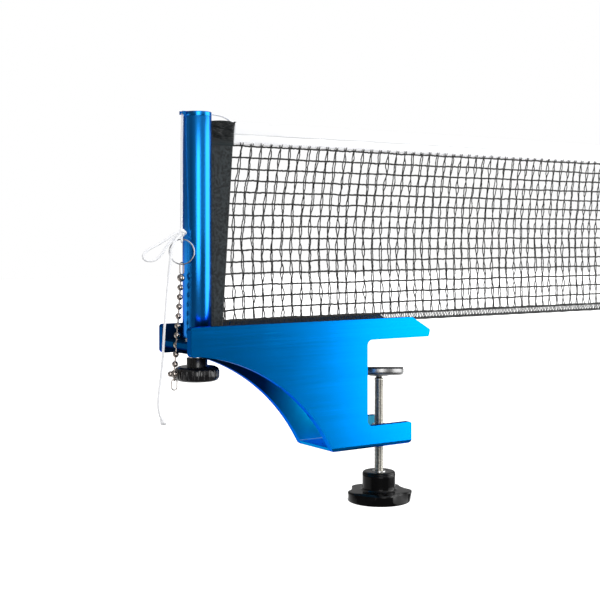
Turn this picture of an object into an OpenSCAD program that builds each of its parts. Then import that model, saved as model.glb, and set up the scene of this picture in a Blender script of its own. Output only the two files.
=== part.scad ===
// Table tennis net clamp: the post, its clamp and the stretch of net that it carries.
// Frame: origin on the clamp screw's axis in the plane of the table top, +X along the net
// towards the table, +Y away from the viewer's side, +Z up. Millimetres.

/* [Clamp body] */
// Width over the two side plates
body_w = 45; // [38:0.5:60]
// Thickness of each side plate
plate_t = 5; // [3.5:0.5:7]
// Height of the side plates above the table face
arm_h = 15; // [12:0.5:22]
// Thickness of the web that rests on the table
web_t = 4; // [3:0.5:6]
// From the post's axis to the far end of the arm
heel_past = 17; // [15:0.5:34]
// How far the arm reaches below the table face at its end
heel_drop = 4.5; // [3:0.5:7]
// From the clamp screw to the tip of the nose
nose_l = 31; // [26:0.5:45]
// From the clamp screw to where the nose starts to slope
nose_top_l = 14; // [8:0.5:20]
// Height of the blunt nose tip
nose_tip_h = 5.2; // [4:0.2:8]
// From the clamp screw to the plates' edges that the table edge meets
mouth_back = 27.5; // [24:0.5:34]
// Clear height of the mouth
mouth_h = 62; // [56:0.5:75]
// Height of the lower jaw
jaw_h = 16; // [14:0.5:20]
// From the clamp screw to the front of the lower jaw
jaw_l = 13; // [10:0.5:20]
// Thickness of the floor along the jaw and the foot
floor_t = 3; // [2:0.5:5]
// Radius of the arch under the arm
arch_r = 140; // [125:1:180]
// From the clamp screw to the foot of the arch
foot_l = 57.5; // [52:0.5:66]
// Flat length under the end of the arm
heel_flat = 7.7; // [5:0.1:12]
// Radius inside the mouth's corners
mouth_r = 4; // [1:0.5:6]
// Radius of the long lower edges
edge_r = 3; // [1:0.5:4]

/* [Clamp screw] */
// Major diameter of the clamp screw
screw_d = 7; // [6:0.5:9]
// Pitch of the clamp screw's thread
screw_pitch = 1; // [0.75:0.05:1.5]
// Height of the pad's top below the table face
pad_z = 23; // [14:0.5:30]
// Length of the screw below the ball's centre
screw_l = 84; // [78:1:110]
// From the screw's end to the underside of the star knob
screw_end_h = 11; // [8:0.5:14]
// Diameter of the threaded bush where it stands in the floor
bush_foot_d = 9; // [8:0.2:11]
// Diameter of the bush above the floor
bush_d = 11; // [9.6:0.2:14]
// Height of the bush from the body's underside
bush_h = 13; // [8:0.5:15]
// Running clearance of the screw, on the radius
screw_clear = 0.05; // [0.02:0.01:0.1]
// Diameter of the ball on the screw's end
ball_d = 6.4; // [6:0.2:7.4]
// Diameter of the spigot that the ball turns on
spigot_d = 3; // [2.4:0.2:3.4]
// Diameter of the screw's neck below the ball
neck_d = 4.4; // [3.8:0.2:4.8]

/* [Pressure plate] */
// Diameter of the pressure plate
press_d = 37; // [30:0.5:40]
// Diameter of the plate's underside
press_low_d = 30.6; // [26:0.2:34]
// Height of the pressure plate
press_h = 4.9; // [4.6:0.1:8]
// Thickness of the rubber pad
pad_t = 1.2; // [0.8:0.1:3]
// Metal left over the ball's socket
roof_t = 0.6; // [0.4:0.1:1]
// Clearance of the ball in its socket, on the radius
socket_clear = 0.1; // [0.05:0.01:0.2]
// How far the plate tips on its ball as it stands
press_tip = 6.4; // [0:0.2:10]
// Direction of the axis that the plate tips about, from +X
press_tip_dir = -34; // [-90:1:90]

/* [Star knob] */
// Diameter over the lobes
star_d = 49.2; // [40:0.2:60]
// Number of lobes
star_lobes = 5; // [4:1:8]
// Thickness of the lobed flange
star_t = 8; // [6:0.5:12]
// Diameter of the hub
star_hub_d = 24.6; // [18:0.2:30]
// Height of the hub above the flange
star_hub_h = 14.7; // [10:0.1:20]
// Radius of each scallop between lobes
scallop_r = 14; // [10:0.5:20]
// Distance of each scallop's centre from the axis
scallop_at = 33; // [31:0.5:44]
// Direction of the first lobe, from +X
star_turn = -47; // [-180:1:180]

/* [Post] */
// From the clamp screw to the post's axis
post_l = 154.5; // [146:0.5:158]
// Outer diameter of the post
post_d = 19.5; // [18:0.5:24]
// Wall of the post tube
post_wall = 1.9; // [1.4:0.1:2.2]
// Height of the post's tube above the net's top edge
post_over = 2.5; // [1:0.5:12]
// Gap between the post's foot and the web
post_gap = 2.5; // [2.2:0.1:6]
// Height of the cap on the post
cap_t = 3; // [2.5:0.1:6]
// Width of the slot that takes the net's edge
slot_w = 3; // [2.4:0.2:4]
// Width of the cord groove across the cap
groove_w = 2.6; // [2.2:0.1:4]
// How far the cap's two cheeks reach past the post, beside the cord
cheek_l = 2.4; // [0.6:0.1:4]
// Thickness of each cheek
cheek_t = 1.1; // [0.6:0.1:2]
// Height of each cheek
cheek_h = 2.3; // [1:0.1:2.5]
// Length of the guide inside the post
guide_l = 40; // [25:1:45]
// Running clearance of the post on its guide, on the radius
guide_clear = 0.1; // [0.05:0.01:0.2]

/* [Height screw] */
// Diameter of the height screw
lift_d = 5; // [4:0.5:5.5]
// Pitch of the height screw's thread
lift_pitch = 0.8; // [0.5:0.05:1.25]
// Running clearance of the height screw, on the radius
lift_clear = 0.05; // [0.02:0.01:0.1]
// Height of the lift nut inside the post
nut_h = 10; // [6:0.5:14]
// Free height between the clip and the nut at the post's lowest place
nut_gap = 13; // [4:0.5:16]
// Diameter of the guide's collar below the web
collar_d = 9; // [8:0.2:12]
// Length of the guide's collar below the web
collar_l = 6.2; // [5:0.1:8]
// Diameter of the thrust washer
washer_d = 11; // [9:0.2:13]
// Thickness of the thrust washer and of the clip
washer_t = 1; // [0.6:0.1:2]
// Diameter of the height knob's rim
knob_d = 30.2; // [24:0.2:36]
// Height of the height knob's rim
knob_t = 9.5; // [6:0.5:14]
// Diameter of the height knob's hub
knob_hub_d = 14; // [12:0.5:18]
// Height of the height knob's hub
knob_hub_h = 5.8; // [3:0.1:9]
// Number of grip grooves around the height knob
knob_ribs = 24; // [16:1:36]

/* [Net] */
// Height of the net's top edge above the table face
net_h = 152.5; // [150:0.5:153]
// Height of the net's bottom edge above the table face
net_low = 11; // [9:0.5:14]
// Height of the white tape along the top
tape_h = 15.3; // [12:0.1:18]
// Height of the hem along the bottom
hem_h = 6.3; // [4:0.1:9]
// Thickness of the tape, hem and edge bands
band_t = 1.6; // [1:0.1:2.2]
// Thickness of the netting
mesh_t = 1; // [0.6:0.1:1.6]
// Width of the netting's cords
mesh_w = 1.2; // [0.8:0.1:2]
// Side of one opening in the netting, centre to centre
mesh_pitch = 15.9; // [14:0.1:24]
// From the clamp screw to the band's edge, at the top
band_top_l = 125; // [118:0.5:132]
// From the clamp screw to the band's edge, at the bottom
band_low_l = 134.5; // [128:0.5:140]
// From the clamp screw to the far end of this stretch of net
net_l = 262; // [200:1:300]
// Width of the band at the far end
end_w = 7; // [5:0.5:12]
// How far each band's rod ends below the net's top edge
rod_short = 0.5; // [0.2:0.1:3]
// How far each band's rod reaches below the net's bottom edge
rod_past = 1; // [0:0.1:2]
// Diameter of the rod inside each band
rod_d = 2.8; // [2:0.1:3]
// Wall of the sleeve around the rod
sleeve_t = 0.5; // [0.4:0.1:0.7]

/* [Cord and chain] */
// Diameter of the white cord
cord_d = 1.8; // [1.2:0.1:2]
// Width of the knot above the ring
knot_d = 5.6; // [4.6:0.1:6]
// Outer diameter of the split ring
ring_d = 17.4; // [14:0.2:20]
// From the post's axis out to the ring's centre
ring_out = 13.7; // [13:0.1:20]
// How far the ring's centre lies to the viewer's side of the net
ring_side = 4; // [0:0.5:8]
// Height of the ring's centre above the table face
ring_h = 64.2; // [60:0.2:80]
// Diameter of the split ring's wire
ring_wire = 0.8; // [0.6:0.1:1]
// Clearance of the ring in the cord's eye and in the chain's link
ring_clear = 0.3; // [0.2:0.05:0.5]
// Outer width of the link between ring and chain
link_w = 5; // [4.8:0.1:5.6]
// Diameter of the link's wire
link_d = 0.8; // [0.6:0.1:1]
// Outer width of the loop at the chain's end
end_loop_w = 4.4; // [3.8:0.1:5]
// Length of the loop at the chain's end
end_loop_l = 7.2; // [6:0.2:10]
// Diameter of the chain's beads
bead_d = 4.2; // [3.2:0.1:4.4]
// Diameter of the bead at each end of the chain
end_bead_d = 5.2; // [4.2:0.1:5.4]
// Diameter of the wire between beads
bead_wire = 1.1; // [0.8:0.1:1.6]
// From the ring's lowest point down to the first bead's centre
first_drop = 9.1; // [8:0.1:12]
// Depth below the table face at which the chain hangs straight
chain_drop = 16.8; // [12:0.2:22]
// Gap between the height knob's rim and the chain's beads
chain_past = 0.8; // [0.4:0.1:3]
// Distance from bead to bead
bead_pitch = 6.36; // [5.4:0.02:6.8]
// Number of beads on the chain
beads = 10; // [8:1:11]
// Width of the slot that the chain hangs in
chain_slot_w = 5.4; // [4.8:0.1:7]
// Depth of that slot from the far end of the arm
chain_slot_l = 4.8; // [4.2:0.1:5.6]
// From the far end of the arm to the chain's centre in the slot
chain_slot_in = 1.4; // [1:0.1:2.4]

/* [Hidden] */
$fn = 64;
e = 0.01;
far = 400;

blue = "#0a6fc0";
black = "#1a1a1c";
steel = "#b8b6ae";
white = "#f2f2f0";
cloth = "#222326";

half_w = body_w / 2;
in_w = body_w - 2 * plate_t;
heel_l = post_l + heel_past;
jaw_top = -mouth_h;
jaw_low = -mouth_h - jaw_h;

// Ball joint
socket_r = ball_d / 2 + socket_clear;
ball_z = -pad_z - pad_t - roof_t - socket_r;
ball_flat = ball_d / 2 - 1;
hub_low = ball_z - ball_d / 2 + 1.3;
neck_top = ball_z - ball_flat - 0.1;
neck_l = 0.2;

// Star knob
screw_low = ball_z - screw_l;
star_low = screw_low - screw_end_h;
star_top = star_low + star_t + star_hub_h;
star_bush_d = screw_d + 3.4;
star_bush_l = 10;

// Post and its screw
post_x = -post_l;
post_top = net_h + post_over;
post_r = post_d / 2;
tube_r = post_r - post_wall;
post_low = web_t + post_gap;
guide_r = tube_r - guide_clear;
guide_top = web_t + guide_l;
rod_at_r = tube_r - 2 * (rod_d / 2 + sleeve_t) - 0.1;
lift_down = 2;
lift_up = 8;
nut_z = guide_top + washer_t + lift_down + nut_gap;
lift_top = nut_z + nut_h + lift_up + 4;
neck_cut = 0.5;
clip_r = rod_at_r - 0.15;
knob_top = -collar_l - washer_t;
knob_low = knob_top - knob_hub_h - knob_t;

// Net edge
rod_r = rod_d / 2;
sleeve_r = rod_r + sleeve_t;
rod_at = tube_r - sleeve_r - 0.1;
rod_x = post_x + rod_at;
rod_low = net_low - rod_past;
rod_top = net_h - rod_short;
tape_low = net_h - tape_h;
hem_top = net_low + hem_h;
function band_edge(z) = -(band_low_l + (band_top_l - band_low_l) * (z - net_low) / (net_h - net_low));

// Ring and chain: the chain hangs from the ring, through the slot and past the knob's rim
ring_r = ring_d / 2 - ring_wire / 2;
ring_turn = -34;
ring_at = [post_x - ring_out, -ring_side, ring_h];
eye_z = ring_at[2] + ring_r;
link_z = ring_at[2] - ring_r;
link_r = (link_w - link_d) / 2;
link_bow = ring_wire / 2 + ring_clear + link_d / 2 + 0.1;
chain_top = [ring_at[0], ring_at[1], link_z];
chain_slot_at = [-heel_l + chain_slot_in, -ring_side / 40, web_t / 2];
chain_low = [post_x - knob_d / 2 - bead_d / 2 - chain_past, -0.4 * ring_side, -chain_drop];
first_z = link_z - first_drop;
last_z = first_z - beads * bead_pitch;
eye_r = link_d / 2 + ring_clear;
eye_low = last_z - end_bead_d / 2 - eye_r - 0.2;
end_turn = -14;
chain_run = [chain_low - [0, 0, 20], chain_low, chain_slot_at - [0.7, 0.1, 7], chain_slot_at, chain_top];
function chain_at(z) = [lookup(z, [for (p = chain_run) [p[2], p[0]]]),
                        lookup(z, [for (p = chain_run) [p[2], p[1]]]), z];
knot_at = [ring_at[0] - 0.3, ring_at[1], eye_z + ring_wire / 2 + ring_clear + knot_d / 2 + 0.1];

// Arch: the circle of arch_r through the heel and the foot, seen along Y
arch_a = [-heel_l + heel_flat, -heel_drop];
arch_b = [-foot_l, jaw_low];
arch_mid = (arch_a + arch_b) / 2;
arch_half = norm(arch_b - arch_a) / 2;
arch_dir = (arch_b - arch_a) / (2 * arch_half);
arch_c = arch_mid + sqrt(arch_r * arch_r - arch_half * arch_half) * [arch_dir[1], -arch_dir[0]];
arch_a0 = atan2(arch_a[1] - arch_c[1], arch_a[0] - arch_c[0]);
arch_a1 = atan2(arch_b[1] - arch_c[1], arch_b[0] - arch_c[0]);
arch_n = 22;

// A corner of an outline, rounded to radius r with a few points
function unit(v) = v / norm(v);
function corner(p, q, s, r) =
    r == 0 ? [q] :
    let (u = unit(p - q), v = unit(s - q), half = acos(u * v) / 2, d = r / tan(half),
         a = q + u * d, b = q + v * d, c = q + unit(u + v) * (r / sin(half)), n = 5)
    [for (i = [0 : n]) let (w = unit((a - c) * (n - i) / n + (b - c) * i / n)) c + w * r];
function rounded(pts, radii) =
    let (n = len(pts))
    [for (i = [0 : n - 1]) each corner(pts[(i + n - 1) % n], pts[i], pts[(i + 1) % n], radii[i])];

// A tube of diameter d swept through the points p; side is a direction that the run never takes
function tangent(p, i) = unit(p[min(i + 1, len(p) - 1)] - p[max(i - 1, 0)]);
module tube(p, d, side, sides = 8) {
    n = len(p);
    rings = [for (i = [0 : n - 1]) let (t = tangent(p, i), u = unit(cross(t, side)), v = cross(u, t))
             each [for (k = [0 : sides - 1]) let (a = 360 * k / sides)
                   p[i] + (u * cos(a) + v * sin(a)) * d / 2]];
    wall = [for (i = [0 : n - 2], k = [0 : sides - 1]) let (a = i * sides + k,
            b = i * sides + (k + 1) % sides, c = a + sides, f = b + sides)
            each [[a, b, f], [a, f, c]]];
    ends = [[for (k = [0 : sides - 1]) sides - 1 - k],
            [for (k = [0 : sides - 1]) (n - 1) * sides + k]];
    polyhedron(concat(rings, [p[0], p[n - 1]]),
               concat(wall, [for (k = [0 : sides - 1]) [(k + 1) % sides, k, n * sides]],
                      [for (k = [0 : sides - 1]) [(n - 1) * sides + k,
                       (n - 1) * sides + (k + 1) % sides, n * sides + 1]]),
               convexity = 4);
}

// Routes of the cords
cord_route = [[-124.4, 0, 151.8], [-127, 0, 152.7], [-129.6, 0, 154.2], [-132.4, 0, 155.6],
              [-136, 0, 156.7], [-141, 0, 157.3], [-147, 0, 157.45], [-154, 0, 157.45],
              [-160, 0, 157.45], [-163.4, 0, 157.4], [-164.8, 0, 156.9], [-165.5, 0, 155.8],
              [-165.7, 0, 154], [-165.8, 0, 150], [-166.1, -0.2, 140], [-166.6, -0.9, 125],
              [-167.2, -1.9, 107], [-167.9, -3, 90], [-168.4, -3.8, 78.6]];
loop_route = [[-170.6, -4, 77], [-173, -4, 76.4], [-176, -4, 74.8], [-179.6, -4, 72.4],
              [-183.6, -4, 70.2], [-188, -4, 68], [-192, -4, 66.2], [-195.2, -4, 64],
              [-196.5, -4, 61.6], [-195.6, -4, 59.4], [-192.4, -4, 58.4], [-188.6, -4, 58.8],
              [-185.4, -4, 60.6], [-182.8, -4, 63.2], [-180.6, -4, 66.4], [-178, -4, 69.6],
              [-175, -4, 72.4], [-172.6, -4, 74], [-170.6, -4, 74.8]];
tail_route = [[-170.2, -6, 75], [-172.8, -7.4, 73.8], [-175.4, -8.2, 71.4], [-177.4, -8.6, 68],
              [-178.6, -8.8, 63.6], [-179.4, -9, 58.6], [-180.2, -9, 52], [-181, -9, 45],
              [-181.8, -9, 38], [-182.5, -9, 30], [-183.1, -9, 22], [-183.7, -9, 14],
              [-184.2, -9, 6], [-184.6, -9, -1], [-185.2, -9, -8], [-186, -9, -15],
              [-186.9, -9, -22], [-187.7, -9, -28], [-188.1, -9, -33.4], [-187.9, -9, -37.8],
              [-187, -9, -41.6], [-185.9, -9, -44.6]];
tail_knot_at = [-185, -9, -46.8];

// The side outline of the body, as [x, z]
outline = rounded(concat(
    [[-heel_l, arm_h], [nose_top_l, arm_h], [nose_l, nose_tip_h], [nose_l - 1.5, 0],
     [-mouth_back, 0], [-mouth_back, jaw_top], [jaw_l, jaw_top], [jaw_l, jaw_low]],
    [for (i = [arch_n : -1 : 0]) let (a = arch_a0 + (arch_a1 - arch_a0) * i / arch_n)
     arch_c + arch_r * [cos(a), sin(a)]],
    [[-heel_l, -heel_drop]]),
    concat([2, 0.8, 1.5, 1.2, mouth_r, mouth_r, 1.6, 2.6], [4],
           [for (i = [1 : arch_n - 1]) 0], [0, 2.4]));

module along_y(w) {
    translate([0, w / 2, 0]) rotate([90, 0, 0]) linear_extrude(w) children();
}

module clamp_body() {
    color(blue) difference() {
        along_y(body_w) polygon(outline);
        // Open channel along the top, between the side plates
        translate([-far / 2, -in_w / 2, web_t]) cube([far, in_w, far]);
        // Hollow between the plates under the web, open at the arch, the mouth and the jaw
        translate([-far / 2, -in_w / 2, jaw_low + floor_t]) cube([far, in_w, -jaw_low - floor_t]);
        // Long lower edges
        for (s = [-1, 1]) translate([-far / 2, s * (half_w - edge_r), jaw_low + edge_r])
            rotate([0, 90, 0]) difference() {
                translate([0, s < 0 ? -edge_r - 1 : 0, 0]) cube([edge_r + 1, edge_r + 1, far]);
                cylinder(r = edge_r, h = far);
            }
        // Bore of the threaded bush
        translate([0, 0, jaw_low - e]) cylinder(d = bush_foot_d, h = floor_t + 1);
        // Bore of the post's guide
        translate([post_x, 0, -e]) cylinder(d = collar_d, h = web_t + 1);
        // Slot that the bead chain hangs in
        translate([-heel_l + chain_slot_l - chain_slot_w / 2, 0, -far / 2]) {
            cylinder(d = chain_slot_w, h = far);
            translate([-far, -chain_slot_w / 2, 0]) cube([far, chain_slot_w, far]);
        }
    }
}

module screw_insert() {
    color(steel) translate([0, 0, jaw_low]) difference() {
        union() {
            cylinder(d = bush_foot_d, h = floor_t + 1);
            translate([0, 0, floor_t]) rotate_extrude($fn = 64) polygon([[0, 0], [bush_d / 2, 0],
                [bush_d / 2, bush_h - floor_t - 1], [bush_d / 2 - 0.7, bush_h - floor_t - 0.2],
                [bush_d / 2 - 1.1, bush_h - floor_t], [0, bush_h - floor_t]]);
        }
        translate([0, 0, -1]) cylinder(r = screw_d / 2 + screw_clear, h = bush_h + 2);
    }
}

module clamp_screw() {
    color(steel) union() {
        translate([0, 0, neck_top - e]) cylinder(d = spigot_d, h = ball_z + ball_d / 4 - neck_top);
        translate([0, 0, neck_top - neck_l]) cylinder(d = neck_d, h = neck_l);
        translate([0, 0, neck_top - neck_l - 1]) cylinder(d1 = screw_d, d2 = neck_d, h = 1 + e);
        translate([0, 0, screw_low]) cylinder(d = screw_d, h = neck_top - neck_l - 1 + e - screw_low);
    }
}

module swivel_ball() {
    color(steel) translate([0, 0, ball_z]) difference() {
        sphere(d = ball_d);
        translate([0, 0, -ball_d]) cylinder(r = spigot_d / 2 + screw_clear, h = ball_d * 5 / 4 + 0.3);
        translate([-ball_d, -ball_d, -2 * ball_d - ball_flat]) cube(2 * ball_d);
    }
}

module tipped() {
    translate([0, 0, ball_z]) rotate([0, 0, press_tip_dir]) rotate([-press_tip, 0, 0])
        rotate([0, 0, -press_tip_dir]) translate([0, 0, -ball_z]) children();
}

module pressure_plate() {
    r = press_d / 2;
    k = r - press_low_d / 2;
    top = -pad_z - pad_t;
    low = top - press_h;
    color(steel) tipped() difference() {
        rotate_extrude($fn = 96) polygon([[0, top], [r - 0.3, top], [r, top - 0.3], [r, low + 2.4],
            for (a = [15 : 15 : 90]) [r - k + k * cos(a), low + 2.4 - 2.4 * sin(a)],
            [ball_d + 2.2, low], [ball_d + 0.6, low - 0.4], [ball_d - 0.8, hub_low], [0, hub_low]]);
        translate([0, 0, ball_z]) sphere(r = socket_r);
        translate([0, 0, hub_low - e]) cylinder(d1 = ball_d - 0.2, d2 = ball_d - 2.2, h = 0.7);
    }
}

module plate_pad() {
    pad_r = press_d / 2 - 0.3;
    color(black) tipped() translate([0, 0, -pad_z - pad_t])
        difference() {
            cylinder(r = pad_r, h = pad_t, $fn = 96);
            translate([0, 0, pad_t]) rotate_extrude($fn = 96)
                translate([pad_r, 0]) rotate(45) square(0.5, center = true);
        }
}

module knob_insert() {
    color(steel) translate([0, 0, star_top - star_bush_l]) difference() {
        cylinder(d = star_bush_d, h = star_bush_l + 0.3);
        translate([0, 0, -1]) cylinder(d = screw_d, h = star_bush_l + 2);
    }
}

module star_knob() {
    color(black) difference() {
        union() {
            translate([0, 0, star_low]) difference() {
                rotate_extrude($fn = 96) polygon([[0, 1.6], [star_d / 2 - 6, 0.6],
                    [star_d / 2 - 2, 0], [star_d / 2, 1.5], [star_d / 2, star_t - 1.2],
                    [star_d / 2 - 1.2, star_t], [0, star_t]]);
                for (i = [0 : star_lobes - 1])
                    rotate([0, 0, star_turn + 360 * (i + 0.5) / star_lobes])
                        translate([scallop_at, 0, -1]) cylinder(r = scallop_r, h = star_t + 2);
            }
            rotate_extrude($fn = 64) polygon([[0, star_low + 2],
                [star_hub_d / 2 + 1.2, star_low + star_t - 0.2],
                [star_hub_d / 2 + 0.3, star_low + star_t + 1],
                [star_hub_d / 2, star_low + star_t + 3],
                [star_hub_d / 2, star_top - 1.6], [star_hub_d / 2 - 0.5, star_top - 0.5],
                [star_hub_d / 2 - 1.6, star_top], [0, star_top]]);
        }
        translate([0, 0, star_top - star_bush_l]) cylinder(d = star_bush_d, h = star_bush_l + 1);
        translate([0, 0, screw_low]) cylinder(d = screw_d, h = far);
    }
}

module post_section(h) {
    difference() {
        cylinder(r = post_r, h = h, $fn = 96);
        translate([0, 0, -1]) cylinder(r = tube_r, h = h + 2, $fn = 96);
        translate([tube_r / 2, -slot_w / 2, -1]) cube([post_r, slot_w, h + 2]);
    }
}

module post_tube() {
    color(blue) translate([post_x, 0, post_low]) post_section(post_top - post_low);
}

module post_cap() {
    color(blue) translate([post_x, 0, post_top]) difference() {
        union() {
            rotate_extrude($fn = 96) polygon([[0, 0], [post_r, 0], [post_r, cap_t - 0.4],
                [post_r - 0.4, cap_t], [0, cap_t]]);
            translate([-post_r - cheek_l, -groove_w / 2 - cheek_t, cap_t - cheek_h])
                cube([cheek_l + 2, groove_w + 2 * cheek_t, cheek_h]);
        }
        // Groove that the cord runs in, between the cheeks and down both sides
        translate([-post_d, -groove_w / 2, 1.5]) cube([2 * post_d, groove_w, cap_t]);
        for (s = [-1, 1]) translate([s * (post_r + 0.1), 0, -1]) cylinder(d = groove_w, h = cap_t + 2);
        translate([-post_r - cheek_l - 1, -groove_w / 2, -1]) cube([cheek_l + 1, groove_w, cap_t + 2]);
    }
}

// The lengthwise groove that clears the band's rod
module rod_way() {
    translate([rod_at, 0, 0]) cylinder(r = sleeve_r + 0.2, h = far);
    translate([rod_at, -sleeve_r - 0.2, 0]) cube([post_r, 2 * sleeve_r + 0.4, far]);
}

module post_guide() {
    color(steel) translate([post_x, 0, 0]) difference() {
        union() {
            translate([0, 0, -collar_l]) cylinder(d = collar_d, h = collar_l + web_t + e);
            translate([0, 0, web_t]) cylinder(r = guide_r, h = guide_l, $fn = 96);
        }
        translate([0, 0, -collar_l - 1])
            cylinder(r = lift_d / 2 + lift_clear, h = collar_l + web_t + guide_l + 2);
        translate([0, 0, rod_low - lift_down - 2]) rod_way();
    }
}

module lift_nut() {
    color(steel) translate([post_x, 0, nut_z]) difference() {
        cylinder(r = tube_r, h = nut_h, $fn = 96);
        translate([0, 0, -1]) cylinder(r = lift_d / 2 + lift_clear, h = nut_h + 2);
        translate([0, 0, -1]) rod_way();
    }
}

module height_screw() {
    color(steel) translate([post_x, 0, knob_low + 3]) difference() {
        cylinder(d = lift_d, h = lift_top - knob_low - 3);
        // Neck that the clip sits in
        translate([0, 0, guide_top - knob_low - 3]) difference() {
            cylinder(d = lift_d + 1, h = washer_t);
            translate([0, 0, -1]) cylinder(r = lift_d / 2 - neck_cut, h = washer_t + 2);
        }
    }
}

module thrust_washer() {
    color(steel) translate([post_x, 0, knob_top]) difference() {
        cylinder(d = washer_d, h = washer_t);
        translate([0, 0, -1]) cylinder(d = lift_d, h = washer_t + 2);
    }
}

module retaining_clip() {
    neck_r = lift_d / 2 - neck_cut;
    color(steel) translate([post_x, 0, guide_top + 0.05]) difference() {
        cylinder(r = clip_r, h = washer_t - 0.1);
        translate([0, 0, -1]) cylinder(r = neck_r, h = washer_t + 2);
        translate([-far, -neck_r + 0.3, -1]) cube([far, 2 * neck_r - 0.6, washer_t + 2]);
    }
}

module height_knob() {
    r = knob_d / 2;
    color(black) translate([post_x, 0, knob_low]) difference() {
        union() {
            difference() {
                rotate_extrude($fn = 96) polygon([[0, 0], [r - 2.6, 0], [r - 0.9, 0.8], [r, 2.6],
                    [r, knob_t - 2.8], [r - 0.8, knob_t - 1], [r - 2.6, knob_t], [0, knob_t]]);
                for (i = [0 : knob_ribs - 1]) rotate([0, 0, 360 * (i + 0.5) / knob_ribs])
                    translate([r + 0.7, 0, -1]) cylinder(r = 1.2, h = knob_t + 2, $fn = 24);
            }
            translate([0, 0, knob_t - 0.5]) cylinder(d = knob_hub_d, h = knob_hub_h + 0.5);
        }
        translate([0, 0, 3]) cylinder(d = lift_d, h = far);
    }
}

module plate_xz(t, pts) {
    along_y(t) polygon(pts);
}

module side_band() {
    color(cloth) difference() {
        union() {
            plate_xz(band_t, [[rod_x, net_low], [rod_x, net_h], [band_edge(net_h), net_h],
                              [band_edge(net_low), net_low]]);
            translate([rod_x, 0, net_low]) cylinder(r = sleeve_r, h = net_h - net_low);
        }
        translate([rod_x, 0, 0]) cylinder(r = rod_r, h = far);
    }
}

module band_rod() {
    color(steel) translate([rod_x, 0, rod_low]) cylinder(r = rod_r, h = rod_top - rod_low);
}

module end_band() {
    color(cloth) difference() {
        union() {
            plate_xz(band_t, [[net_l - end_w, net_low], [net_l - end_w, net_h],
                              [net_l, net_h], [net_l, net_low]]);
            translate([net_l, 0, net_low]) cylinder(r = sleeve_r, h = net_h - net_low);
        }
        translate([net_l, 0, 0]) cylinder(r = rod_r, h = far);
    }
}

module end_rod() {
    color(steel) translate([net_l, 0, rod_low]) cylinder(r = rod_r, h = rod_top - rod_low);
}

module top_tape() {
    color(white) plate_xz(band_t, [[band_edge(tape_low), tape_low], [band_edge(net_h), net_h],
                                   [net_l - end_w, net_h], [net_l - end_w, tape_low]]);
}

module bottom_hem() {
    color(cloth) plate_xz(band_t, [[band_edge(net_low), net_low], [band_edge(hem_top), hem_top],
                                   [net_l - end_w, hem_top], [net_l - end_w, net_low]]);
}

module net_mesh() {
    z0 = hem_top;
    z1 = tape_low;
    x1 = net_l - end_w;
    rows = max(1, round((z1 - z0) / mesh_pitch));
    dz = (z1 - z0) / rows;
    x0 = band_edge(z0);
    cols = floor((x1 - x0) / mesh_pitch);
    g = mesh_w / 2;
    color(black) along_y(mesh_t) difference() {
        polygon([[band_edge(z0), z0], [band_edge(z1), z1], [x1, z1], [x1, z0]]);
        for (j = [0 : rows - 1], k = [0 : cols - 1])
            let (a = z0 + j * dz + g, b = z0 + (j + 1) * dz - g,
                 r = x1 - (cols - 1 - k) * mesh_pitch - g, l = r - mesh_pitch + 2 * g)
            polygon(k == 0 ? [[band_edge(a) + mesh_w, a], [band_edge(b) + mesh_w, b], [r, b], [r, a]]
                           : [[l, a], [l, b], [r, b], [r, a]]);
    }
}

module top_cord() { color(white) tube(cord_route, cord_d, [0, 1, 0]); }
module cord_loop() { color(white) tube(loop_route, cord_d, [0, 1, 0]); }
module cord_tail() { color(white) tube(tail_route, cord_d, [0, 1, 0]); }

module along_ring(z) {
    translate([ring_at[0], ring_at[1], z]) rotate([0, 0, ring_turn]) rotate([0, 90, 0]) children();
}

module cord_knot() {
    color(white) difference() {
        union() {
            translate(knot_at) sphere(d = knot_d, $fn = 48);
            translate(knot_at + [1.3, -0.9, 0.9]) sphere(d = knot_d * 0.75, $fn = 48);
            translate(knot_at + [-1.2, 0.4, -0.5]) sphere(d = knot_d * 0.7, $fn = 48);
            // Eye that holds the ring
            along_ring(eye_z) translate([0, 0, -1]) cylinder(r = ring_wire + ring_clear + 0.9, h = 2);
        }
        along_ring(eye_z) translate([0, 0, -knot_d]) cylinder(r = ring_wire + ring_clear, h = 2 * knot_d);
    }
}

module tail_knot() {
    color(white) union() {
        translate(tail_knot_at) sphere(d = 4.8, $fn = 48);
        translate(tail_knot_at + [0.9, 0, -0.9]) sphere(d = 4, $fn = 48);
    }
}

// Two turns of wire, side by side
module split_ring() {
    color(steel) translate(ring_at) rotate([0, 0, ring_turn]) rotate([90, 0, 0]) union()
        for (s = [-1, 1]) translate([0, 0, s * ring_wire * 0.35])
            rotate_extrude($fn = 96) translate([ring_r, 0]) circle(d = ring_wire, $fn = 24);
}

// A loop of round wire, standing in its own x-z plane, from z = 0 down to z = -l
module wire_loop(r, d, l) {
    for (s = [0, 1]) translate([0, 0, -r - s * (l - 2 * r)]) rotate([90, s * 180, 0])
        rotate_extrude(angle = 180, $fn = 64) translate([r, 0]) circle(d = d, $fn = 24);
    for (s = [-1, 1]) translate([s * r, 0, r - l]) cylinder(d = d, h = l - 2 * r, $fn = 24);
}

module chain_link() {
    low = first_z + end_bead_d / 2 - link_d * 0.5;
    color(steel) translate([ring_at[0], ring_at[1], link_z + link_bow]) rotate([0, 0, ring_turn + 60])
        wire_loop(link_r, link_d, link_z + link_bow - low);
}

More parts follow.
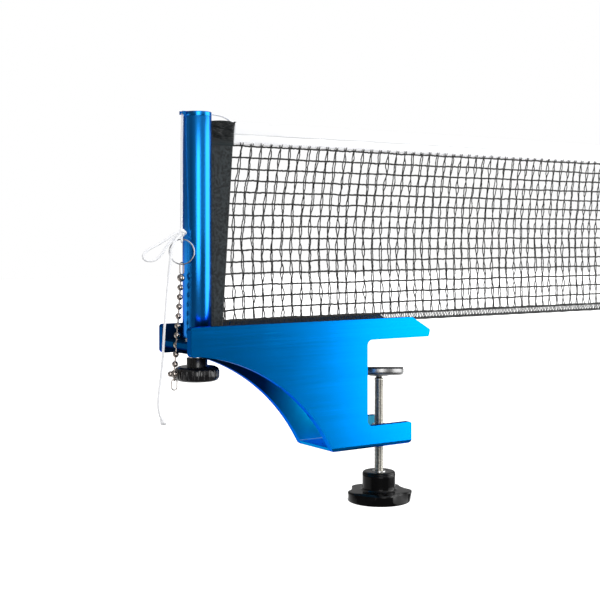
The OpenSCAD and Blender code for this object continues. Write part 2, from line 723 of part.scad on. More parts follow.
module bead_chain() {
    color(steel) union() {
        for (i = [0 : beads - 1]) translate(chain_at(first_z - i * bead_pitch))
            sphere(d = i == 0 ? end_bead_d : bead_d, $fn = 48);
        for (i = [0 : beads - 2]) {
            a = chain_at(first_z - i * bead_pitch);
            b = chain_at(first_z - (i + 1) * bead_pitch);
            d = b - a;
            translate(a) rotate([0, acos(d[2] / norm(d)), atan2(d[1], d[0])])
                cylinder(d = bead_wire, h = norm(d), $fn = 24);
        }
    }
}

// The clasp at the end: a bead with a rim, a plain bead behind it and an eye for the end loop
module chain_coupling() {
    a = chain_at(last_z);
    color(steel) difference() {
        union() {
            translate(a) sphere(d = end_bead_d - 0.5, $fn = 48);
            translate(a) rotate([90, 0, ring_turn]) cylinder(d = end_bead_d, h = 1, center = true, $fn = 48);
            translate(a + [-2.4, 1, 0]) sphere(d = bead_d - 0.4, $fn = 48);
            translate(a) cylinder(d = bead_wire, h = bead_pitch - bead_d / 2 + 0.1, $fn = 24);
            translate([a[0], a[1], eye_low]) rotate([0, 0, end_turn]) {
                rotate([0, 90, 0]) cylinder(r = eye_r + 0.6, h = 1, center = true, $fn = 48);
                translate([-0.5, -eye_r - 0.6, 0]) cube([1, 2 * eye_r + 1.2, last_z - eye_low]);
            }
        }
        translate([a[0], a[1], eye_low]) rotate([0, 0, end_turn]) rotate([0, 90, 0])
            cylinder(r = eye_r, h = 6, center = true, $fn = 48);
    }
}

module chain_end() {
    a = chain_at(last_z);
    color(steel) translate([a[0], a[1], eye_low]) rotate([0, 0, end_turn])
        wire_loop((end_loop_w - link_d) / 2, link_d, end_loop_l);
}

clamp_body();
screw_insert();
clamp_screw();
swivel_ball();
star_knob();
knob_insert();
pressure_plate();
plate_pad();
post_tube();
post_cap();
post_guide();
lift_nut();
height_screw();
height_knob();
thrust_washer();
retaining_clip();
side_band();
band_rod();
top_tape();
net_mesh();
bottom_hem();
end_band();
end_rod();
top_cord();
cord_knot();
cord_loop();
cord_tail();
tail_knot();
split_ring();
chain_link();
bead_chain();
chain_coupling();
chain_end();
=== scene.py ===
import bpy, math
from math import sin, cos, pi, radians
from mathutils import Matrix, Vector, noise


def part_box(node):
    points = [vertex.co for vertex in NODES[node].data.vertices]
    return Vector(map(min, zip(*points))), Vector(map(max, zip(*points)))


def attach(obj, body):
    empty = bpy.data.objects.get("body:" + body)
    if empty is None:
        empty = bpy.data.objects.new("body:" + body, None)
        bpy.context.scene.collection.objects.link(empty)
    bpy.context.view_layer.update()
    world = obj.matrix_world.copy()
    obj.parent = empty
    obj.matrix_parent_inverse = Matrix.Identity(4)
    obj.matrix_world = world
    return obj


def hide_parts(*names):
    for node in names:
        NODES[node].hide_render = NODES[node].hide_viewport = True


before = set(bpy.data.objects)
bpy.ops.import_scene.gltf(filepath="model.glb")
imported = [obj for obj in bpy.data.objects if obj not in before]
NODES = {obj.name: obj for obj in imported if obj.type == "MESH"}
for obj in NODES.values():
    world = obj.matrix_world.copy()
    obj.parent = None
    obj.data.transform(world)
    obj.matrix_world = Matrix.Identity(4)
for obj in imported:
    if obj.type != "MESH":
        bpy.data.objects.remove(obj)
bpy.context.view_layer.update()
# Shapes are in millimetres in the part's own frame. A shader's Object coordinates are metres in the same frame
MM = 0.001
UP = Vector((0, 0, 1))
scene = bpy.context.scene
scene.view_settings.view_transform = "Standard"

# ---------------------------------------------------------------- camera
cam_data = bpy.data.cameras.new("camera")
cam_data.sensor_width = 36
cam_data.lens = 69.951
cam_data.shift_y = -0.10492
cam_data.clip_start = 0.01
cam = bpy.data.objects.new("camera", cam_data)
cam.location = (-0.53515, -0.68920, 0.07396)
cam.rotation_euler = (pi / 2, 0, -radians(33.96))
scene.collection.objects.link(cam)
scene.camera = cam


# ---------------------------------------------------------------- mesh helpers
def mesh(name, verts, faces, mat, body, node=None):
    """A smooth mesh object from points in millimetres, which rides on a body and may stand for CAD nodes."""
    me = bpy.data.meshes.new(name)
    me.from_pydata([Vector(v) * MM for v in verts], [], faces)
    me.validate()
    me.polygons.foreach_set("use_smooth", [True] * len(me.polygons))
    me.materials.append(mat)
    me.update()
    ob = bpy.data.objects.new(name, me)
    scene.collection.objects.link(ob)
    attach(ob, body)
    if node:
        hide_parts(*([node] if isinstance(node, str) else node))
    return ob


class Parts:
    """Points and faces gathered for one mesh."""

    def __init__(self):
        self.v, self.f = [], []

    def add(self, v, f):
        n = len(self.v)
        self.v += [tuple(p) for p in v]
        self.f += [tuple(i + n for i in q) for q in f]

    def tube(self, pts, r, sides=8, wave=None, flat=1.0, closed=False):
        """A tube along pts; r may depend on the share of the way, and wave(way, angle) scales it."""
        pts = [Vector(p) for p in pts]
        n = len(pts)
        way, frames, up = 0.0, [], None
        for i, p in enumerate(pts):
            if closed:
                t = (pts[(i + 1) % n] - pts[i - 1]).normalized()
            else:
                t = (pts[min(i + 1, n - 1)] - pts[max(i - 1, 0)]).normalized()
            if up is None:
                a = Vector((0, 1, 0)) if abs(t.y) < 0.8 else UP
                up = (a - t * a.dot(t)).normalized()
            up = (up - t * up.dot(t)).normalized()
            if i:
                way += (p - pts[i - 1]).length
            frames.append((p, up, t.cross(up), way))
        v = []
        for i, (p, u, w, s) in enumerate(frames):
            ri = r(i / (n - 1)) if callable(r) else r
            for k in range(sides):
                a = 2 * pi * k / sides
                q = ri * (wave(s, a) if wave else 1)
                v.append(p + u * (q * cos(a) * flat) + w * (q * sin(a)))
        f = [(i * sides + k, i * sides + (k + 1) % sides, ((i + 1) % n) * sides + (k + 1) % sides,
              ((i + 1) % n) * sides + k) for i in range(n if closed else n - 1) for k in range(sides)]
        if not closed:
            f += [tuple(range(sides))[::-1], tuple((n - 1) * sides + k for k in range(sides))]
        self.add(v, f)

    def rings(self, rows, caps=True):
        """A surface through rings of points, each with as many points."""
        m = len(rows[0])
        f = [(i * m + k, i * m + (k + 1) % m, (i + 1) * m + (k + 1) % m, (i + 1) * m + k)
             for i in range(len(rows) - 1) for k in range(m)]
        if caps:
            f += [tuple(range(m))[::-1], tuple((len(rows) - 1) * m + k for k in range(m))]
        self.add([p for row in rows for p in row], f)

    def ball(self, c, r, n):
        """A closed ball, n faces from pole to pole."""
        m = 2 * n
        v = []
        for i in range(n + 1):
            for k in range(m):
                tilt, a = pi * i / n, pi * k / n
                v.append(Vector(c) + Vector((sin(tilt) * cos(a), sin(tilt) * sin(a), cos(tilt))) * r)
        f = [(i * m + k, (i + 1) * m + k, (i + 1) * m + (k + 1) % m, i * m + (k + 1) % m)
             for i in range(n) for k in range(m)]
        self.add(v, f)

    def make(self, name, mat, body, node=None):
        return mesh(name, self.v, self.f, mat, body, node)


def spline(pts, step):
    """Points every step along a smooth curve through pts."""
    pts = [Vector(p) for p in pts]
    out = []
    for i in range(len(pts) - 1):
        a, b = pts[max(i - 1, 0)], pts[i]
        c, d = pts[i + 1], pts[min(i + 2, len(pts) - 1)]
        m = max(1, round((c - b).length / step))
        for k in range(m):
            t = k / m
            out.append(0.5 * ((2 * b) + (c - a) * t + (2 * a - 5 * b + 4 * c - d) * t * t
                              + (3 * b - a - 3 * c + d) * t ** 3))
    return out + [pts[-1]]


def turn(n):
    """n angles, evenly round a full turn."""
    return [2 * pi * i / n for i in range(n)]


def low_of(node):
    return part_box(node)[0].z * 1000


def top_of(node):
    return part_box(node)[1].z * 1000


# ---------------------------------------------------------------- material helpers
class Tree:
    """Short names for building a node tree."""

    def __init__(self, tree):
        self.t = tree

    def new(self, kind, **values):
        n = self.t.nodes.new("ShaderNode" + kind)
        for k, v in values.items():
            if k in n.inputs:
                self.put(n.inputs[k], v)
            else:
                setattr(n, k, v)
        return n

    def put(self, socket, v):
        if isinstance(v, bpy.types.NodeSocket):
            self.t.links.new(v, socket)
        else:
            socket.default_value = v

    def math(self, op, a, b=None):
        n = self.new("Math", operation=op)
        self.put(n.inputs[0], a)
        if b is not None:
            self.put(n.inputs[1], b)
        return n.outputs[0]

    def weigh(self, a, share_a, b, share_b):
        """So much of a and so much of b, added."""
        return self.math("ADD", self.math("MULTIPLY", a, share_a), self.math("MULTIPLY", b, share_b))

    def coords(self, kind="Object"):
        return self.new("TexCoord").outputs[kind]

    def axes(self, kind="Object"):
        return self.new("SeparateXYZ", Vector=self.coords(kind)).outputs

    def place(self, scale=(1, 1, 1), rotation=(0, 0, 0)):
        return self.new("Mapping", Vector=self.coords(), Scale=scale, Rotation=rotation).outputs[0]

    def from_axis(self, a, b):
        """How far a point is from the axis, with a and b across it."""
        return self.math("SQRT", self.math("ADD", self.math("POWER", a, 2.0), self.math("POWER", b, 2.0)))

    def noise(self, vector, scale=1.0, detail=2.0, rough=0.5):
        return self.new("TexNoise", Vector=vector, Scale=scale, Detail=detail, Roughness=rough).outputs["Fac"]

    def mix(self, fac, a, b):
        n = self.new("Mix", data_type="RGBA")
        self.put(n.inputs[0], fac)
        for s, v in ((n.inputs[6], a), (n.inputs[7], b)):
            self.put(s, (*v, 1) if isinstance(v, tuple) else v)
        return n.outputs[2]

    def span(self, fac, lo, hi, a=0.0, b=1.0):
        """a up to lo, b from hi on, and even between them."""
        n = self.new("MapRange")
        for i, v in enumerate((fac, lo, hi, a, b)):
            self.put(n.inputs[i], v)
        return n.outputs[0]


class Material(Tree):
    """A material's tree with its one shader."""

    def __init__(self, name):
        self.m = bpy.data.materials.new(name)
        self.m.use_nodes = True
        super().__init__(self.m.node_tree)
        self.b = self.t.nodes["Principled BSDF"]
        self.o = self.t.nodes["Material Output"]

    def set(self, **values):
        for k, v in values.items():
            self.put(self.b.inputs[k.replace("_", " ")], (*v, 1) if isinstance(v, tuple) else v)

    def rework(self, name, change):
        """Feed an input with change(what feeds it now)."""
        socket = self.b.inputs[name]
        self.put(socket, change(socket.links[0].from_socket))

    def bump(self, height, distance, strength):
        n = self.new("Bump", Height=height, Strength=strength, Distance=distance)
        self.put(self.b.inputs["Normal"], n.outputs[0])


ANODISED = (0.0, 0.24, 0.76)


def shade(colour, k):
    return tuple(c * k for c in colour)


def anodised(name, along, rough, coat=0.0):
    """Brushed blue anodised aluminium; along is the brushing's direction, 0 for x and 2 for z."""
    n = Material(name)
    fine = [1300.0] * 3
    fine[along] = 22.0
    wide = [420.0] * 3
    wide[along] = 6.0
    lines = n.noise(n.place(tuple(fine)), 1.0, 2.0, 0.6)
    bands = n.noise(n.place(tuple(wide)), 1.0, 3.0, 0.6)
    cloud = n.noise(n.place(), 22.0, 3.0, 0.5)
    grain = n.noise(n.place(), 1700.0, 2.0, 0.6)
    tone = n.weigh(lines, 0.55, bands, 0.45)
    n.set(Base_Color=n.mix(n.span(tone, 0.3, 0.7), shade(ANODISED, 0.91), shade(ANODISED, 1.09)),
          Metallic=1.0, Coat_Weight=coat, Coat_Roughness=0.2, Specular_Tint=(0.0, 0.24, 0.72),
          Roughness=n.span(n.weigh(lines, 0.5, cloud, 0.5), 0.3, 0.7, rough - 0.03, rough + 0.03))
    if along == 2:
        n.set(Anisotropic=0.35, Tangent=n.new("Tangent", direction_type="RADIAL", axis="Z").outputs[0])
    n.bump(n.weigh(lines, 0.7, grain, 0.3), 0.00001, 0.4)
    return n


def plain_metal(name, base, rough, scratch=(900.0, 900.0, 900.0)):
    n = Material(name)
    a = n.noise(n.place(scratch), 1.0, 3.0, 0.6)
    b = n.noise(n.place(), 90.0, 3.0, 0.6)
    n.set(Base_Color=n.mix(n.span(b, 0.3, 0.7), shade(base, 0.82), base), Metallic=1.0,
          Roughness=n.span(a, 0.3, 0.7, rough - 0.06, rough + 0.07))
    n.bump(a, 0.00002, 0.4)
    return n


def plastic(name, base, rough, coat=0.0, grain=900.0, depth=0.00002):
    n = Material(name)
    a = n.noise(n.place(), grain, 3.0, 0.55)
    b = n.noise(n.place(), 60.0, 2.0, 0.5)
    n.set(Base_Color=n.mix(n.span(b, 0.3, 0.7), shade(base, 0.85), shade(base, 1.15)),
          Roughness=n.span(b, 0.3, 0.7, rough - 0.04, rough + 0.05), Coat_Weight=coat, Coat_Roughness=0.08)
    n.bump(a, depth, 0.5)
    return n


def woven(name, warm, cool, pitch, rough=0.85, sheen=0.2, depth=0.00018):
    """Plain weave in the x-z plane, pitch in millimetres."""
    n = Material(name)
    x, _, z = n.axes()
    k = 2 * pi / (pitch * MM)
    drift = n.math("MULTIPLY", n.math("SUBTRACT", n.noise(n.place(), 120.0, 2.0), 0.5), 1.5)
    a = n.math("SINE", n.math("ADD", n.math("MULTIPLY", x, k), drift))
    b = n.math("SINE", n.math("ADD", n.math("MULTIPLY", z, k), drift))
    over = n.math("ADD", n.math("MULTIPLY", n.math("MULTIPLY", a, b), 0.5), 0.5)
    fuzz = n.noise(n.place(), 5200.0, 2.0, 0.7)
    h = n.weigh(over, 0.7, fuzz, 0.4)
    cloud = n.weigh(n.noise(n.place(), 45.0, 4.0, 0.6), 0.5, n.noise(n.place(), 900.0, 2.0, 0.6), 0.5)
    tone = n.weigh(h, 0.5, cloud, 0.5)
    n.set(Base_Color=n.mix(n.span(tone, 0.25, 0.8), warm, cool),
          Roughness=n.span(fuzz, 0.3, 0.7, rough - 0.06, rough + 0.06),
          Sheen_Weight=sheen, Sheen_Roughness=0.45)
    n.bump(h, depth, 0.7)
    return n


def thread_mat(name, warm, cool, rough, twist=900.0):
    """Twisted or braided yarn: fine slanting strands and fluff."""
    n = Material(name)
    x, y, z = n.axes()
    slant = n.math("ADD", n.math("ADD", x, z), n.math("MULTIPLY", y, 0.7))
    s = n.math("SINE", n.math("MULTIPLY", slant, twist * 6))
    fuzz = n.noise(n.place(), 3800.0, 2.0, 0.7)
    h = n.weigh(s, 0.25, fuzz, 0.6)
    n.set(Base_Color=n.mix(n.span(h, 0.0, 0.65), warm, cool),
          Roughness=n.span(fuzz, 0.3, 0.7, rough - 0.08, rough + 0.08), Sheen_Weight=0.25, Sheen_Roughness=0.5)
    n.bump(h, 0.0001, 0.5)
    return n


# ---------------------------------------------------------------- materials
blue_body = anodised("anodised_body", 0, 0.25)
# Between the plates the extrusion isn't brushed: it is rougher, and its colour there carries painted shade,
# darker where less light comes in. Along the floor's corner with the back plate runs a painted highlight line.
# The places are in metres
INNER_Y, CORNER_Y, JAW_FLOOR_Z, HEEL_END_X = 0.0176, 0.0166, -0.0745, -0.1712
bx, by, bz = blue_body.axes()
within = blue_body.math("LESS_THAN", blue_body.math("ABSOLUTE", by), INNER_Y)
heel_end = blue_body.math("LESS_THAN", bx, HEEL_END_X)
above_floor = blue_body.math("SUBTRACT", bz, JAW_FLOOR_Z)
on_floor = blue_body.math("LESS_THAN", blue_body.math("ABSOLUTE", above_floor), 0.0004)
corner = blue_body.math("MULTIPLY", on_floor, blue_body.math("GREATER_THAN", by, CORNER_Y))
# Painted shade and light inside: navy shade under the arm, then what each mask lays over it: painted light
# brighter towards the foot, painted shade behind the mouth, painted shade on the floor with a painted highlight
# along its corner, and painted shade on the web and in the channel over the web
painted_inner_shades = (0.0, 0.035, 0.12)
for mask, colour in ((blue_body.span(bx, -0.090, -0.052), (0.0, 0.50, 1.0)),
                     (blue_body.span(bx, -0.04, -0.02), (0.03, 0.22, 0.34)),
                     (on_floor, (0.0, 0.11, 0.18)),
                     (corner, (0.35, 0.70, 0.95)),
                     (blue_body.span(bz, 0.0005, 0.0012), (0.0, 0.10, 0.22)),
                     (blue_body.span(bz, 0.0041, 0.0045), (0.0, 0.04, 0.11))):
    painted_inner_shades = blue_body.mix(mask, painted_inner_shades, colour)
# Outside the plates, the end faces at the arm's far end get painted shade; between the plates the painted inner
# shades and highlight go on
blue_body.rework("Base Color", lambda old: blue_body.mix(
    within, blue_body.mix(heel_end, old, (0.0, 0.10, 0.27)), painted_inner_shades))
blue_body.rework("Roughness", lambda old: blue_body.math("ADD", blue_body.math("MULTIPLY", within, 0.2), old))
blue_post = anodised("anodised_post", 2, 0.23, 0.3)

plate_zinc = plain_metal("plate_zinc", (0.36, 0.36, 0.36), 0.34)
nickel = plain_metal("nickel", (0.52, 0.46, 0.42), 0.10)
ring_steel = plain_metal("ring_steel", (0.60, 0.60, 0.61), 0.12)
bright = plain_metal("bright_steel", (0.72, 0.72, 0.72), 0.22, (300.0, 300.0, 3000.0))
screw_mat = plain_metal("screw_zinc", (0.74, 0.72, 0.66), 0.30, (700.0, 700.0, 2500.0))
# The clamp screw's grooves are painted dark, as painted shade in the thread's recesses; it stands on the world's
# z axis
sx, sy, _ = screw_mat.axes()
crest = screw_mat.span(screw_mat.from_axis(sx, sy), 0.0029, 0.0033)
screw_mat.rework("Base Color", lambda old: screw_mat.mix(crest, (0.20, 0.19, 0.16), old))
height_screw_mat = plain_metal("height_screw_zinc", (0.56, 0.54, 0.48), 0.30, (700.0, 700.0, 2500.0))

black_gloss = plastic("black_gloss", (0.0030, 0.0030, 0.0032), 0.13, 0.15)
# Moulded side faces are duller than the polished tops
facing_up = black_gloss.math("ABSOLUTE", black_gloss.axes("Normal")[2])
black_gloss.set(Specular_IOR_Level=black_gloss.span(facing_up, 0.45, 0.8, 0.12, 0.5),
                Coat_Weight=black_gloss.span(facing_up, 0.45, 0.8, 0.0, 0.15))
black_satin = plastic("black_satin", (0.004, 0.004, 0.005), 0.16, 0.2)
rubber = plastic("rubber", (0.012, 0.012, 0.013), 0.7, 0.0, 1800.0, 0.00005)
nut_plastic = plastic("nut_plastic", (0.75, 0.75, 0.72), 0.45)

band_mat = woven("band_weave", (0.001, 0.003, 0.004), (0.050, 0.064, 0.068), 1.5)
# The band's yarn is flecked with darker threads
flecks = band_mat.span(band_mat.noise(band_mat.place(), 800.0, 2.0, 0.6), 0.42, 0.58)
band_mat.rework("Base Color", lambda old: band_mat.mix(flecks, (0.003, 0.005, 0.006), old))
hem_mat = woven("hem_weave", (0.006, 0.006, 0.007), (0.035, 0.037, 0.038), 0.7)
tape_mat = woven("tape_weave", (0.87, 0.875, 0.89), (0.95, 0.95, 0.96), 0.5, 0.8, 0.1, 0.0001)
net_mat = thread_mat("net_thread", (0.003, 0.003, 0.003), (0.022, 0.021, 0.020), 0.85)
cord_mat = thread_mat("cord_thread", (0.86, 0.87, 0.90), (0.97, 0.97, 0.98), 0.75, 700.0)
stitch_mat = thread_mat("stitch_thread", (0.60, 0.62, 0.66), (0.84, 0.85, 0.88), 0.7)
dark_stitch = thread_mat("dark_stitch", (0.010, 0.011, 0.012), (0.06, 0.065, 0.065), 0.7)

patch_mat = plastic("band_patch", (0.0035, 0.0050, 0.0055), 0.26)
# The turned-over end's lower part runs out into the band's own weave
_, _, pz = patch_mat.axes()
gone = patch_mat.span(pz, 0.1370, 0.1412, 1.0, 0.0)
patch_mat.rework("Base Color", lambda old: patch_mat.mix(gone, old, (0.022, 0.029, 0.031)))
patch_mat.set(Roughness=patch_mat.span(gone, 0.0, 1.0, 0.27, 0.8),
              Specular_IOR_Level=patch_mat.span(gone, 0.0, 1.0, 0.3, 0.15))
creases = patch_mat.noise(patch_mat.place((70, 70, 330), (0, radians(-24), 0)), 1.0, 3.0, 0.6)
patch_mat.bump(creases, 0.0022, 0.9)

FINISH = {
    "clamp_body": blue_body, "screw_insert": bright, "swivel_ball": bright,
    "pressure_plate": plate_zinc, "plate_pad": rubber, "star_knob": black_gloss, "knob_insert": bright,
    "post_tube": blue_post, "post_cap": blue_post, "post_guide": nut_plastic, "lift_nut": nut_plastic,
    "height_knob": black_satin, "thrust_washer": bright, "retaining_clip": bright, "band_rod": bright,
    "end_rod": bright, "chain_link": nickel, "bead_chain": nickel, "chain_coupling": nickel,
    "chain_end": nickel,
}
for name, finish in FINISH.items():
    ob = NODES[name]
    ob.data.materials.clear()
    ob.data.materials.append(finish.m)
# Edges broken by so many millimetres
ROUND = {"clamp_body": 0.35, "height_knob": 0.3, "post_cap": 0.25, "post_tube": 0.2,
         "pressure_plate": 0.25, "thrust_washer": 0.15, "screw_insert": 0.2, "knob_insert": 0.15}
for name, r in ROUND.items():
    ob = NODES[name]
    w = ob.modifiers.new("weld", "WELD")
    w.merge_threshold = 1e-6
    b = ob.modifiers.new("edges", "BEVEL")
    b.width = r * MM
    b.segments = 2
    b.limit_method = "ANGLE"
    b.angle_limit = radians(38)
    b.harden_normals = False
    b.use_clamp_overlap = True
    b.miter_outer = "MITER_ARC"

# ---------------------------------------------------------------- cords
CORD_D = 1.8
KNOT = Vector((-168.5, -4, 76.1))
TAIL_KNOT = Vector((-185, -9, -46.8))
EYE = Vector((-168.2, -4, 72.5))
RING_CENTRE = Vector((-168.2, -4, 64.2))
top_route = [(-124.4, 0, 151.8), (-127, 0, 152.7), (-129.6, 0, 154.2), (-132.4, 0, 155.6), (-136, 0, 156.7),
             (-141, 0, 157.3), (-147, 0, 157.45), (-154, 0, 157.45), (-160, 0, 157.45), (-163.4, 0, 157.4),
             (-164.8, 0, 156.9), (-165.5, 0, 155.8), (-165.7, 0, 154), (-165.8, 0, 150), (-166.1, -0.2, 140),
             (-166.6, -0.9, 125), (-167.2, -1.9, 107), (-167.9, -3, 90), (-168.4, -3.8, 78.6)]
loop_route = [(-170.6, -4, 77), (-173, -4, 76.4), (-176, -4, 74.8), (-179.6, -4, 72.4), (-183.6, -4, 70.2),
              (-188, -4, 68), (-192, -4, 66.2), (-195.2, -4, 64), (-196.5, -4, 61.6), (-195.6, -4, 59.4),
              (-192.4, -4, 58.4), (-188.6, -4, 58.8), (-185.4, -4, 60.6), (-182.8, -4, 63.2), (-180.6, -4, 66.4),
              (-178, -4, 69.6), (-175, -4, 72.4), (-172.6, -4, 74), (-170.6, -4, 74.8)]
tail_route = [(-170.2, -6, 75), (-172.8, -7.4, 73.8), (-175.4, -8.2, 71.4), (-177.4, -8.6, 68),
              (-178.6, -8.8, 63.6), (-179.4, -9, 58.6), (-180.2, -9, 52), (-181, -9, 45), (-181.8, -9, 38),
              (-182.5, -9, 30), (-183.1, -9, 22), (-183.7, -9, 14), (-184.2, -9, 6), (-184.6, -9, -1),
              (-185.2, -9, -8), (-186, -9, -15), (-186.9, -9, -22), (-187.7, -9, -28), (-188.1, -9, -33.4),
              (-187.9, -9, -37.8), (-187, -9, -41.6), (-185.9, -9, -44.6)]


def braid(s, a):
    """Eight strands, four wound each way."""
    return 1 + 0.055 * sin(4 * a + s * 3.3) + 0.055 * sin(4 * a - s * 3.3) - 0.09


def cord_piece(name, route, node):
    pts = spline(route, 0.45)
    p = Parts()
    p.tube(pts, CORD_D / 2, 16, wave=braid)
    return p.make(name, cord_mat.m, "post", node), pts


def wrapped(name, centre, turns, node, core_at, core_r):
    """A tight knot: turns of cord wound over each other round a core."""
    p = Parts()
    for axis, r, squeeze, lift in turns:
        ax = Vector(axis).normalized()
        u = ax.orthogonal().normalized()
        w = ax.cross(u)
        pts = [centre + Vector(lift) + (u * cos(t) + w * sin(t) * squeeze) * r + ax * (0.25 * sin(2 * t))
               for t in turn(48)]
        p.tube(pts, CORD_D / 2, 12, wave=braid, closed=True)
    p.ball(centre + Vector(core_at), core_r, 10)
    return p.make(name, cord_mat.m, "post", node)


cord_piece("top_cord_braid", top_route, "top_cord")
loop_cord, loop_pts = cord_piece("loop_cord_braid", loop_route, "cord_loop")
tail_cord, tail_pts = cord_piece("tail_cord_braid", tail_route, "cord_tail")
wrapped("ring_knot", KNOT,
        [((1, 0.2, 0.5), 1.75, 0.9, (0, 0, 0.2)), ((0.2, 0.3, 1), 1.7, 0.95, (0.9, -0.6, 0.8)),
         ((-0.6, 0.5, 0.8), 1.6, 0.9, (-1.0, 0.3, -0.4)), ((0.1, 1, 0.1), 1.5, 1.0, (0.2, -0.2, 1.2))],
        "cord_knot", (0.2, -0.1, 0.2), 2.1)
# The split ring hangs in a plane along ring_along, and the cord's eye stands across that plane
ring_along = Vector((cos(radians(-34)), sin(radians(-34)), 0))
ring_across = Vector((-ring_along.y, ring_along.x, 0))
eye = Parts()
eye.tube([EYE + (ring_across * cos(t) + UP * sin(t)) * 1.75 for t in turn(40)], 0.72, 12, closed=True)
eye.make("ring_knot_eye", cord_mat.m, "post")
tail_end = wrapped("tail_cord_knot", TAIL_KNOT,
                   [((1, 0.1, 0.3), 1.35, 0.9, (0.1, 0, 0.3)), ((0.2, 0.3, 1), 1.3, 0.95, (0.6, 0, -0.7)),
                    ((-0.5, 0.9, 0.3), 1.3, 0.9, (0.3, 0, 0))], "tail_knot", (0.3, 0, -0.2), 1.5)

# ---------------------------------------------------------------- threaded screws
def threaded(name, node, body, x, d, pitch, low, high, ends, mat):
    """A rod with a helical V thread between low and high, then plain rings (radius, z) on top."""
    depth = 0.54 * pitch
    sides, per_turn, run_out, chamfer = 48, 6, 1.2, 0.8
    n = round((high - low) / pitch * per_turn)
    rows = []
    for i in range(n + 1):
        z = low + (high - low) * i / n
        fade = max(0, min(1, (z - low) / run_out, (high - z) / run_out))
        row = []
        for k in range(sides):
            flank = abs(2 * ((z / pitch - k / sides) % 1) - 1)
            h = min(1, max(0, (flank - 0.1) / 0.8))
            r = d / 2 - 0.03 - depth * (1 - h) * fade - 0.5 * (1 - min(1, (z - low) / chamfer))
            row.append((x + r * cos(2 * pi * k / sides), r * sin(2 * pi * k / sides), z))
        rows.append(row)
    for r, z in ends:
        rows.append([(x + r * cos(2 * pi * k / sides), r * sin(2 * pi * k / sides), z) for k in range(sides)])
    p = Parts()
    p.rings(rows)
    p.make(name, mat, body, node)


threaded("clamp_screw_thread", "clamp_screw", "screw", 0, 7.0, 1.0, low_of("clamp_screw"), -31.6,
         [(3.45, -31.6), (2.2, -30.6), (2.2, -30.45), (1.5, -30.4), (1.5, -26.8), (1.2, top_of("clamp_screw"))],
         screw_mat.m)
HEIGHT_SCREW = (-154.5, 5.0, 0.8)
threaded("height_screw_thread", "height_screw", "height_set", *HEIGHT_SCREW, low_of("height_screw"), 43.9,
         [(2.45, 43.95), (2.0, 44.0), (2.0, 44.9), (2.45, 44.95), (2.45, 45.2)], height_screw_mat.m)
threaded("height_screw_top", "height_screw", "height_set", *HEIGHT_SCREW, 45.0, top_of("height_screw"), [],
         height_screw_mat.m)

# ---------------------------------------------------------------- star knob
STAR_LOW, STAR_TOP, HUB_TOP, HUB_R, FOOT_R = -122.6, -114.4, top_of("star_knob"), 12.3, 23.5
LOW_EDGE, TOP_EDGE, FILLET, HUB_EDGE = 1.1, 0.9, 2.0, 1.8
HUB_FOOT = STAR_TOP + 2.1
STAR_SIDES = 160


def star_r(a, t):
    """The star's radius: a full circle at the foot, t = 0, and five broad lobes at the top, t = 1."""
    c = cos(5 * (a - radians(-117)))
    return FOOT_R * (1 - t) + t * (22.6 + 2.0 * (1.5 * c - 0.5 * c ** 3))


def star_row(z, t, inset=0.0):
    """The star's outline at t, drawn in by inset, at height z."""
    return [((star_r(a, t) - inset) * cos(a), (star_r(a, t) - inset) * sin(a), z) for a in turn(STAR_SIDES)]


def round_row(z, r):
    return [(r * cos(a), r * sin(a), z) for a in turn(STAR_SIDES)]


def quarter(steps):
    """Angles over a quarter turn, both ends included."""
    return [radians(90.0 * i / steps) for i in range(steps + 1)]


# From the middle of the underside outwards, up the star's side, in over its top, up the hub and down its bore
rows = [round_row(STAR_LOW + 1.2, 3), round_row(STAR_LOW + 0.9, 19.0), round_row(STAR_LOW + 0.2, 20.2)]
rows += [star_row(STAR_LOW + LOW_EDGE - LOW_EDGE * cos(a), 0, LOW_EDGE - LOW_EDGE * sin(a)) for a in quarter(6)]
rows += [star_row(STAR_LOW + LOW_EDGE + (STAR_TOP - STAR_LOW - (LOW_EDGE + TOP_EDGE)) * i / 10, i / 10)
         for i in range(1, 11)]
rows += [star_row(STAR_TOP - TOP_EDGE + TOP_EDGE * sin(a), 1, TOP_EDGE - TOP_EDGE * cos(a)) for a in quarter(6)]
rows += [star_row(STAR_TOP + 0.05, 1, 2.4), star_row(STAR_TOP + 0.1, 1, 4.4)]
rows += [round_row(HUB_FOOT - FILLET * cos(a), HUB_R + FILLET - FILLET * sin(a)) for a in quarter(7)]
rows += [round_row(HUB_FOOT + (HUB_TOP - STAR_TOP - 3.9) * i / 6, HUB_R) for i in range(1, 7)]
rows += [round_row(HUB_TOP - HUB_EDGE + HUB_EDGE * sin(a), HUB_R - HUB_EDGE + HUB_EDGE * cos(a))
         for a in quarter(8)]
rows += [round_row(HUB_TOP, 8.0), round_row(HUB_TOP, 5.5), round_row(HUB_TOP - 0.3, 5.22),
         round_row(HUB_TOP - 10, 5.22), round_row(HUB_TOP - 10.05, 3.6), round_row(HUB_TOP - 10.4, 3.52),
         round_row(low_of("clamp_screw") - 0.02, 3.52)]
star = Parts()
star.rings(rows)
star.make("star_knob_moulded", black_gloss.m, "screw", "star_knob")

# ---------------------------------------------------------------- net
NET_L, END_W, NET_LOW, NET_H, HEM_TOP, TAPE_LOW = 262.0, 7.0, 11.0, 152.5, 17.3, 137.2
NET_X1 = NET_L - END_W
NET_END = NET_X1 + 1
ROD_X = -148.65
ROWS, PITCH, STEP = 16, 8.04, 1.1
NET_TOP, NET_FOOT = TAPE_LOW - 0.5, HEM_TOP - 0.1
CELL = (NET_TOP - NET_FOOT) / (ROWS - 1)
ROW_R, COLUMN_R = 0.66, 0.40


def band_edge(z):
    """Where the side band's slanting inner edge is at height z."""
    return -(134.5 + (125.0 - 134.5) * (z - NET_LOW) / (NET_H - NET_LOW))


